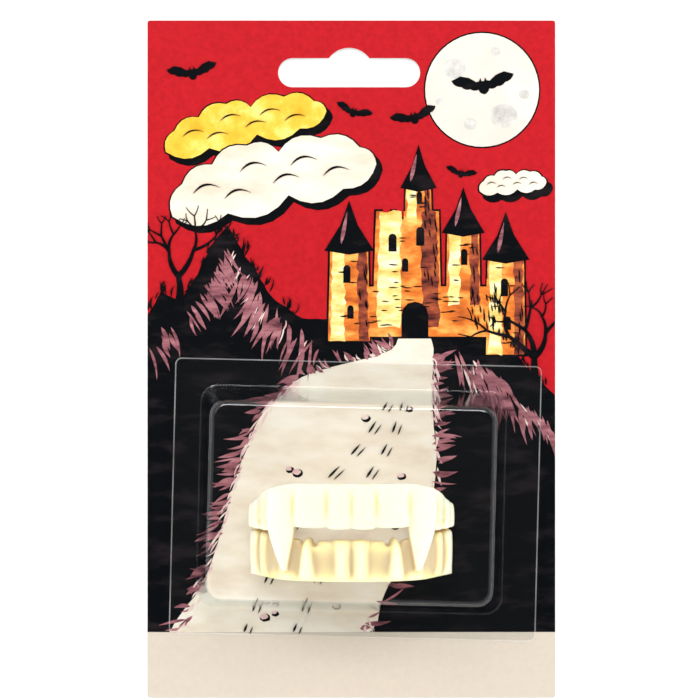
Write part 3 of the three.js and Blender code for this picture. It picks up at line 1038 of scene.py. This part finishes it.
INK_BLACK = (0.0012, 0.002, 0.003)
INK_CREAM = (0.81, 0.725, 0.6)
INK_YELLOW = (0.86, 0.55, 0.06)
INK_ORANGE = (0.78, 0.2, 0.03)
INK_PLUM = (0.3, 0.11, 0.13)
INK_PINK = (0.62, 0.36, 0.36)
INK_WHITE = (0.78, 0.71, 0.63)
black_ink = brushed_ink("black_ink", [INK_BLACK, INK_BLACK, (0.012, 0.009, 0.011)])
cream_tones = [(0.73, 0.62, 0.49), INK_CREAM, (0.87, 0.81, 0.71)]
cream_ink = brushed_ink("cream_ink", cream_tones, scale=(60, 160), tilt=75)
yellow_ink = brushed_ink("yellow_ink", [(0.8, 0.42, 0.03), INK_YELLOW, (0.95, 0.78, 0.22)], scale=(150, 150))
orange_ink = brushed_ink("orange_ink", [(0.4, 0.08, 0.02), INK_ORANGE, (0.93, 0.5, 0.12)], scale=(110, 240))
plum_ink = brushed_ink("plum_ink", [(0.1, 0.03, 0.04), INK_PLUM, (0.46, 0.2, 0.22)], scale=(120, 500))
pink_ink = brushed_ink("pink_ink", [INK_PINK, (0.76, 0.56, 0.53), INK_CREAM], scale=(120, 500))
white_ink = brushed_ink("white_ink", [(0.7, 0.63, 0.55), INK_WHITE, (0.84, 0.79, 0.72)], scale=(40, 40))

# %% [markdown]
# ### The land and the road
# Black hills fill the lower half, and a cream road widens over them towards the lower edge. Dry
# brush strokes in plum and pink break up its banks, because a hard edge would look cut out.

# %% Land
ART_LEFT, ART_RIGHT, ART_FOOT = -45.53, 45.53, -61.0
HILLS = [(-50, 8), (-45.5, 10), (-42.5, 15), (-38, 13), (-34.5, 19), (-31, 26), (-27.5, 30), (-23.5, 23),
         (-18, 14), (-11, 9), (-3, 9), (5, 11), (14, 12), (25, 11), (32, 6), (37, 1), (41, -4), (45.5, -8),
         (50, -12), (50, -66), (-50, -66)]
ROAD = [(-39, -64), (-33, -50), (-29.5, -40), (-26.5, -29), (-23, -19), (-18.5, -10), (-11, -4), (-2, -1.2),
        (5.5, 0.6), (9.6, 2.6), (11.3, 5.3), (17.1, 5.3), (18.4, 1), (18.1, -6), (18.4, -14), (19, -24),
        (17, -34), (12.5, -43), (7.5, -52), (0, -64)]


def inside_art(outline):
    """The outline held inside the printed picture."""
    return [(min(max(x, ART_LEFT), ART_RIGHT), max(y, ART_FOOT)) for x, y in outline]


def bristles(line, count, length, width, heading, spread=0.3, reach=1.0):
    """Dry brush strokes that start along a line of points and all head roughly one way."""
    marks = []
    for _ in range(count):
        index = random.randrange(len(line) - 1)
        start = Vector(line[index]).lerp(Vector(line[index + 1]), random.random())
        start += Vector((random.uniform(-reach, reach), random.uniform(-reach, reach)))
        turn = heading + random.uniform(-spread, spread)
        end = start + Vector((math.cos(turn), math.sin(turn))) * length * random.uniform(0.5, 1.2)
        fatness = width * random.uniform(0.5, 1.3)
        marks.append(inside_art(stroke(start, end, fatness, bend=random.uniform(-0.5, 0.5))))
    return marks


def brush_marks(rows):
    """The strokes of a table: line, count, length, width, heading in degrees, spread and reach."""
    marks = []
    for line, count, length, width, heading, spread, reach in rows:
        marks += bristles(line, count, length, width, math.radians(heading), spread, reach)
    return marks


road = inside_art(rough(curve_through(ROAD, 4), 1.5, 0.12))
left_bank, far_bank, right_bank = ROAD[0:7], ROAD[6:10], ROAD[12:20]
lay_ink("print_land", [inside_art(rough(HILLS, 1.5, 0.2))], 1, black_ink)
lay_ink("print_road", [road], 2, cream_ink)
PLUM_MARKS = [
    (left_bank, 70, 5.5, 0.9, 200, 0.3, 0.8),
    (right_bank, 60, 5.0, 0.9, 15, 0.4, 0.8),
    ([(-45, 3), (-33, 14), (-28, 24)], 42, 7.0, 0.8, -62, 0.25, 1.5),
    ([(-25, 20), (-18, 9), (-8, 3)], 46, 8.0, 0.9, -110, 0.3, 2.0),
    ([(24, 1.5), (31, -4), (44, -15)], 44, 8.0, 0.8, -70, 0.35, 1.6),
    (far_bank, 26, 3.4, 0.8, 125, 0.4, 0.5),
]
PINK_MARKS = [
    (left_bank, 46, 4.5, 0.55, 235, 0.25, 0.5),
    (right_bank, 40, 4.0, 0.5, -75, 0.3, 0.6),
    ([(-26, 24), (-20, 12), (-10, 4)], 14, 5.0, 0.5, -115, 0.2, 1.2),
    ([(24, 0), (31, -5), (44, -17)], 18, 5.0, 0.5, -65, 0.3, 1.5),
    (far_bank, 14, 2.6, 0.45, 135, 0.4, 0.4),
]
lay_ink("print_brush_marks", brush_marks(PLUM_MARKS), 3, plum_ink)
lay_ink("print_highlights", brush_marks(PINK_MARKS), 4, pink_ink)

# %% Pebbles on the road
PEBBLES = [(-19.5, -57.5, 1.9), (-17.2, -56.6, 1.2), (-3.5, -55, 1.6), (-21.5, -38, 1.5), (9.5, -37, 1.8),
           (-14, -24.5, 1.4), (-12.2, -25.2, 2.0), (11, -26, 1.5), (3, -13, 1.7), (12.8, -11, 1.1)]


def pebble(across, up, width, grown=0.0):
    return rough(oval((across, up), width + grown, width * 0.7 + grown, 10), 2, 0.08)


stones = [pebble(x, y, size) for x, y, size in PEBBLES]
shades = [pebble(x + 0.25, y - 0.3, size, 0.5) for x, y, size in PEBBLES]
lay_ink("print_pebble_shades", shades, 3, black_ink)
lay_ink("print_pebbles", stones, 4, pink_ink)

# %% [markdown]
# ### Clouds and moon
# Comic clouds have scalloped edges and a hard black shadow below them. The scallops come from a
# helper that bulges each side of a polygon. The moon is a plain disc with a few grey craters.

# %% Clouds and moon
def scalloped(corners, sag, steps=5):
    """Every side of the polygon bulges out by a share of its length, or in where sag is below 0."""
    outline = []
    for start, end in zip(corners, corners[1:] + corners[:1]):
        start, end = Vector(start), Vector(end)
        out = Vector((end.y - start.y, start.x - end.x))
        outline += [tuple(start.lerp(end, k / steps) + out * (4 * sag * k / steps * (1 - k / steps)))
                    for k in range(steps)]
    return outline


CLOUD = [(-0.5, -0.28), (-0.24, -0.42), (0.06, -0.36), (0.32, -0.45), (0.5, -0.2), (0.44, 0.1), (0.27, 0.36),
         (0.06, 0.3), (-0.08, 0.5), (-0.26, 0.34), (-0.42, 0.16)]
CLOUD_TURN = math.radians(13)
CLOUDS = [
    {"across": -18.0, "up": 41.2, "width": 47, "height": 15, "turn": CLOUD_TURN, "ink": "cream"},
    {"across": -24.0, "up": 53.0, "width": 37, "height": 9.5, "turn": CLOUD_TURN, "ink": "yellow"},
    {"across": 36.0, "up": 39.6, "width": 15, "height": 5.0, "turn": 0.1, "ink": "cream"},
]
CLOUD_SHADOW = (1.1, -1.3)
CLOUD_LINE = 0.7


def cloud_outline(cloud, grown=0.0, slip=(0, 0)):
    wide, high = cloud["width"] + grown, cloud["height"] + grown
    corners = [(x * wide, y * high) for x, y in CLOUD]
    across, up = cloud["across"] + slip[0], cloud["up"] + slip[1]
    return moved(scalloped(corners, 0.2), across, up, turn=cloud["turn"])


MOON = (29.2, 60.1)
MOON_WIDTH = 25.4
CRATERS = [(-6.2, 4.8, 5.2), (4.8, -5.8, 6.2), (-2.6, -7.6, 3.0), (9.4, -1.0, 2.4), (3.0, 8.6, 2.2),
           (-9.4, -2.6, 1.8)]
CRATER_TONES = [(0.46, 0.44, 0.41), (0.6, 0.58, 0.54), (0.72, 0.7, 0.66)]
MOON_RING = 0.7
yellow_clouds = [cloud for cloud in CLOUDS if cloud["ink"] == "yellow"]
cream_clouds = [cloud for cloud in CLOUDS if cloud["ink"] == "cream"]


def cloud_shadows(clouds):
    """The black outline and the hard shadow below each cloud."""
    return [cloud_outline(cloud, CLOUD_LINE, slip) for cloud in clouds for slip in ((0, 0), CLOUD_SHADOW)]


ring = oval(MOON, MOON_WIDTH + MOON_RING, MOON_WIDTH + MOON_RING, 48)
lay_ink("print_cloud_shadow", [ring, *cloud_shadows(yellow_clouds)], 1, black_ink)
lay_ink("print_yellow_cloud", [cloud_outline(cloud) for cloud in yellow_clouds], 2, yellow_ink)
lay_ink("print_front_shadow", cloud_shadows(cream_clouds), 3, black_ink)
lay_ink("print_cream_clouds", [cloud_outline(cloud) for cloud in cream_clouds], 4, cream_ink)
lay_ink("print_moon", [oval(MOON, MOON_WIDTH, MOON_WIDTH, 48)], 3, white_ink)
craters = [oval((MOON[0] + x, MOON[1] + y), size, size * 0.86) for x, y, size in CRATERS]
lay_ink("print_craters", craters, 4, brushed_ink("crater_ink", CRATER_TONES, scale=(300, 300)))

# %% [markdown]
# ### The castle
# A castle stands on the hill in warm tones. A table lists its towers, and one function turns each
# row into a wall, its lit and its shaded side, and a pointed roof or a row of battlements.

# %% Castle
TOWERS = [
    {"middle": 17, "width": 34, "foot": 5, "top": 18, "roof": 0},
    {"middle": 12.5, "width": 14, "foot": 7, "top": 33, "roof": 0},
    {"middle": 15, "width": 5.5, "foot": 30.5, "top": 39, "roof": 8.5},
    {"middle": -0.5, "width": 8.5, "foot": 4, "top": 25, "roof": 10},
    {"middle": 25, "width": 7, "foot": 12, "top": 29, "roof": 9},
    {"middle": 34.5, "width": 8, "foot": 1, "top": 23, "roof": 9.5},
]
FOOT_FLARE = 1.1
EAVES = 1.1
MERLONS = 5
MERLON_HEIGHT = 1.8
INK_LINE = 0.45  # how far the black outline stands out round a shape


def wall_outline(tower, low=0.0, high=1.0, grown=0.0):
    """The wall between two shares of its width, grown all round by the black outline's width."""
    edge = tower["middle"] - tower["width"] / 2
    left, right = edge + tower["width"] * low, edge + tower["width"] * high
    flare = [tower["middle"] + (x - tower["middle"]) * FOOT_FLARE for x in (left, right)]
    foot, top = tower["foot"] - grown, tower["top"] + grown
    outline = [(flare[0] - grown, foot), (flare[1] + grown, foot), (right + grown, top)]
    if not tower["roof"]:
        pitch = (right - left) / (2 * MERLONS - 1)
        for tooth in range(2 * (MERLONS - 1)):
            x = right - pitch * (tooth + 1)
            levels = (top, top - MERLON_HEIGHT) if tooth % 2 == 0 else (top - MERLON_HEIGHT, top)
            outline += [(x, level) for level in levels]
    return outline + [(left - grown, top)]


def roof_outline(tower, grown=0.0):
    half = tower["width"] / 2 + EAVES + grown
    eaves, tip = tower["top"] - 0.6 - grown, tower["top"] + tower["roof"] + grown * 2
    middle = tower["middle"]
    waist, waist_up = half * 0.35, tip - tower["roof"] * 0.55
    return [(middle - half, eaves), (middle, eaves - 0.9), (middle + half, eaves),
            (middle + waist, waist_up), (middle, tip), (middle - waist, waist_up)]


def arch(across, up, width, height):
    """A round-headed window or gate."""
    head = [(across + width / 2 * math.cos(t), up + height - width / 2 + width / 2 * math.sin(t))
            for t in [math.pi * k / 6 for k in range(7)]]
    return [(across - width / 2, up), (across + width / 2, up), *head]


roofed = [tower for tower in TOWERS if tower["roof"]]
outlines = [wall_outline(tower, grown=INK_LINE) for tower in TOWERS]
lay_ink("print_castle_outline", outlines, 3, black_ink)
lay_ink("print_castle_walls", [rough(wall_outline(tower), 3, 0.06) for tower in TOWERS], 5, orange_ink)

# %% The castle's light and shade
LIT_TONES = [(0.86, 0.45, 0.1), (0.93, 0.72, 0.25), (0.95, 0.88, 0.6)]
SHADED_TONES = [(0.05, 0.014, 0.012), (0.25, 0.05, 0.03), (0.5, 0.12, 0.04)]
STONE_SCALE = (160, 420)


def stripes(low, high, spacing):
    """A ragged upright stripe on each tower's wall, between two shares of its width."""
    walls = [wall_outline({**tower, "roof": 1}, low, high) for tower in TOWERS[1:]]
    return [rough(wall, spacing, 0.3) for wall in walls]


lit_ink = brushed_ink("lit_stone_ink", LIT_TONES, scale=STONE_SCALE)
lay_ink("print_castle_light", stripes(0.06, 0.4, 1.4), 6, lit_ink)
shade_ink = brushed_ink("shaded_stone_ink", SHADED_TONES, scale=STONE_SCALE)
lay_ink("print_castle_shade", stripes(0.72, 0.97, 1.2), 6, shade_ink)

# %% Roofs, windows and the gate
GATE = (14.2, 4.8, 6.0, 8)
WINDOWS = [(-1.0, 17, 1.6, 4), (-0.2, 9, 1.4, 3), (9.2, 24, 1.8, 4), (15.4, 25.5, 1.8, 4),
           (12.0, 19.5, 1.4, 3), (25.2, 21, 1.4, 3.6), (34.2, 14, 1.6, 4), (35, 6.5, 1.3, 3),
           (15.2, 34.6, 1.2, 2.8)]
roofs = [roof_outline(tower, 0.2) for tower in roofed]
openings = [arch(*row) for row in (*WINDOWS, GATE)]
lay_ink("print_roofs_and_windows", roofs + openings, 7, black_ink)


def gleam(tower):
    """A stroke of light down the left of a roof."""
    foot = (tower["middle"] - 1.8, tower["top"] + 0.6)
    return stroke(foot, (tower["middle"] - 0.4, tower["top"] + tower["roof"] * 0.8), 0.9)


lay_ink("print_roof_gleams", [gleam(tower) for tower in roofed], 8, plum_ink)

# %% [markdown]
# ### Bats, trees and the pen
# The last black goes on top of all: bats, bare trees that fork again and again, and the pen's
# hatching, which gives the castle its stones, the clouds their folds and the road its ruts.

# %% Bats and trees
HALF_BAT = [(0, 0.8), (0.35, 0.95), (0.5, 1.7), (0.85, 0.95), (1.5, 0.8), (3.0, 1.9), (4.9, 2.5), (7.0, 1.7)]
HALF_BAT_HEM = [(7.0, 1.7), (4.9, 0.1), (3.0, -0.6), (1.2, -0.9), (0, -2.1)]
BATS = [(29.5, 61.2, 1.0, 0.12), (0.5, 55.2, 0.6, -0.3), (14.0, 54.0, 0.75, 0.25),
        (-35.5, 64.0, 0.8, 0.15), (24.5, 41.5, 0.5, -0.2)]


def bat(across, up, size, turn):
    hem = scalloped(HALF_BAT_HEM, -0.16, 4)[: 4 * (len(HALF_BAT_HEM) - 1)]
    half = HALF_BAT + hem[1:] + [HALF_BAT_HEM[-1]]
    mirrored = [(-x, y) for x, y in reversed(half[1:-1])]
    return moved(half + mirrored, across, up, size, turn)


def tapered(start, end, width, tip_width, bend):
    """A limb from a wide foot to a narrower end."""
    start, end = Vector(start), Vector(end)
    across = Vector((start.y - end.y, end.x - start.x)).normalized()
    left, right = [], []
    for step in range(5):
        t = step / 4
        place = start.lerp(end, t) + across * (4 * bend * t * (1 - t))
        half = (width + (tip_width - width) * t) / 2
        left.append(tuple(place + across * half))
        right.append(tuple(place - across * half))
    return left + right[::-1]


def tree(foot, heading, length, width, forks):
    """A bare tree: a limb that forks into two or three thinner ones, as often as forks says."""
    end = Vector(foot) + Vector((math.cos(heading), math.sin(heading))) * length
    limbs = [tapered(foot, end, width, width * 0.55, random.uniform(-0.12, 0.12) * length)]
    if forks:
        for side in (-1, 1) if random.random() < 0.6 else (-1, 0.2, 1):
            turn = heading + side * random.uniform(0.35, 0.75)
            limbs += tree(end, turn, length * random.uniform(0.6, 0.8), width * 0.6, forks - 1)
    return limbs


bats = [bat(*row) for row in BATS]
trees = tree((-39.5, 10), math.radians(84), 8.5, 2.2, 4) + tree((42.5, -9), math.radians(100), 9.5, 2.4, 4)
lay_ink("print_bats_and_trees", bats + [inside_art(limb) for limb in trees], 9, black_ink)

# %% The pen's marks
def hatching(tower, count):
    """Short pen strokes over a tower: courses of stone, and closer ones down its shaded side."""
    marks = []
    for _ in range(count):
        up = random.uniform(tower["foot"] + 2, tower["top"] - 2)
        left = tower["middle"] + tower["width"] * random.uniform(-0.42, 0.2)
        end = (left + random.uniform(1.2, 2.6), up + random.uniform(-0.15, 0.15))
        marks.append(stroke((left, up), end, 0.28))
    for _ in range(count):
        up = random.uniform(tower["foot"] + 1, tower["top"] - 3)
        side = tower["middle"] + tower["width"] * random.uniform(0.28, 0.48)
        marks.append(stroke((side, up), (side - 0.3, up + random.uniform(1.5, 3.2)), 0.35))
    return marks


pen = [mark for tower in TOWERS for mark in hatching(tower, max(5, round(tower["width"] * 0.9)))]
RUTS = [[(-24, -61), (-18, -47), (-10, -32), (2, -19), (9, -8)],
        [(-13, -61), (-7, -47), (0, -32), (8, -19), (12, -8)]]
for rut in RUTS:
    line = curve_through([rut[0], *rut, rut[-1]], 5)[5:-10]
    for start, end in list(zip(line, line[1:]))[::2]:
        pen.append(stroke(start, end, 0.5))
        pen.append(stroke((start[0] + 1.3, start[1] - 0.4), (end[0] + 1.2, end[1] - 0.7), 0.3))
PUFFS = [(-0.38, -0.02), (-0.24, -0.2), (-0.14, 0.14), (0.0, -0.14), (0.1, 0.06), (0.24, -0.2)]
PUFF_WIDTH = 0.13
for cloud in CLOUDS:
    wide, high = cloud["width"], cloud["height"]
    for x, y in PUFFS:
        ends = [(x * wide, y * high), ((x + PUFF_WIDTH) * wide, y * high)]
        curl = stroke(*ends, 0.035 * high, bend=0.09 * high)
        pen.append(moved(curl, cloud["across"], cloud["up"], turn=cloud["turn"]))
for slope, count in ((HILLS[1:10], 60), (HILLS[14:18], 18)):
    pen += bristles(slope, count, 2.6, 0.45, math.radians(85), 0.5, 0.6)
lay_ink("print_pen", pen, 9, black_ink)

# %% [markdown]
# ## Stage and light
# The floor is plain and pale. A small key light stands to the upper left. A stronger one stands
# straight beyond the card's top edge, so that its reflection runs along the bubble's upper bend.
# Three wide ones, low at the sides and the front, fill the denture's flanks, and the film doesn't
# mirror them.

# %% Floor
deselect()
bpy.ops.mesh.primitive_plane_add(size=6.0, location=(0, 0, mm(-0.3)))
floor = bpy.context.object
floor.name = "floor"
settle(floor)


def pale_floor():
    finish = Finish("pale_floor")
    paper = finish.ramp(finish.noise(30, detail=2), [(0.3, (0.93, 0.93, 0.925)), (0.7, (0.95, 0.95, 0.945))])
    return finish.surface(finish.node("BsdfPrincipled", Base_Color=paper, Roughness=0.8).outputs[0])


dress(floor, pale_floor())
floor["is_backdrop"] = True

# %% Lights
def soft_light(name, place, size, power):
    """A square area light that looks at the card's middle, from a place in millimetres."""
    place = [mm(value) for value in place]
    deselect()
    bpy.ops.object.light_add(type="AREA", location=place)
    light = bpy.context.object
    light.name = name
    light.data.size = size
    light.data.energy = power
    light.rotation_euler = (Vector((0, 0, 0)) - Vector(place)).to_track_quat("-Z", "Y").to_euler()
    return light


soft_light("key_light", (-480, 480, 1250), 0.7, 1.5)
edge_light = soft_light("edge_light", (0, 700, 1250), 0.9, 10.5)
edge_light.data.shape = "RECTANGLE"
edge_light.data.size_y = 0.4
fills = [
    soft_light("left_fill", (-1400, -200, 520), 1.4, 18),
    soft_light("right_fill", (1400, -100, 520), 1.4, 20),
    soft_light("front_fill", (0, -1300, 650), 1.2, 9),
]
for light in fills:
    light.visible_glossy = False

# %% [markdown]
# A clear film shows whatever it mirrors. Seen from straight above it mirrors the ceiling, so the
# studio's ceiling is dark, as it is behind a camera on a copy stand, and its walls are bright.

# %% The studio's walls and ceiling
CEILING_GREY = (0.1, 0.1, 0.1)
WALL_WHITE = (1, 1, 1)
world = bpy.data.worlds.new("studio")
bpy.context.scene.world = world
world.use_nodes = True
studio = world.node_tree
heading = studio.nodes.new("ShaderNodeTexCoord")
height = studio.nodes.new("ShaderNodeSeparateXYZ")
shades = studio.nodes.new("ShaderNodeValToRGB")
shades.color_ramp.elements[0].position = 0.75
shades.color_ramp.elements[0].color = (*WALL_WHITE, 1)
shades.color_ramp.elements[1].position = 0.95
shades.color_ramp.elements[1].color = (*CEILING_GREY, 1)
studio.links.new(heading.outputs["Generated"], height.inputs[0])
studio.links.new(height.outputs["Z"], shades.inputs[0])
studio.links.new(shades.outputs["Color"], studio.nodes["Background"].inputs["Color"])
studio.nodes["Background"].inputs["Strength"].default_value = 0.5
bpy.context.scene.view_settings.view_transform = "Standard"

# %% [markdown]
# ## Sizes and the end
# The visual model is measured against the solids' box, and how far it reaches past each side is printed.
# The visual model must stay inside the solids' box.

# %% Compare the sizes and finish
visual_box = [list(corner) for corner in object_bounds()]
for axis, letter in enumerate("xyz"):
    low = (visual_box[0][axis] - cad_box[0][axis]) * 1000
    high = (visual_box[1][axis] - cad_box[1][axis]) * 1000
    print(letter, "low", round(low, 2), "high", round(high, 2), "mm past the solids' box")
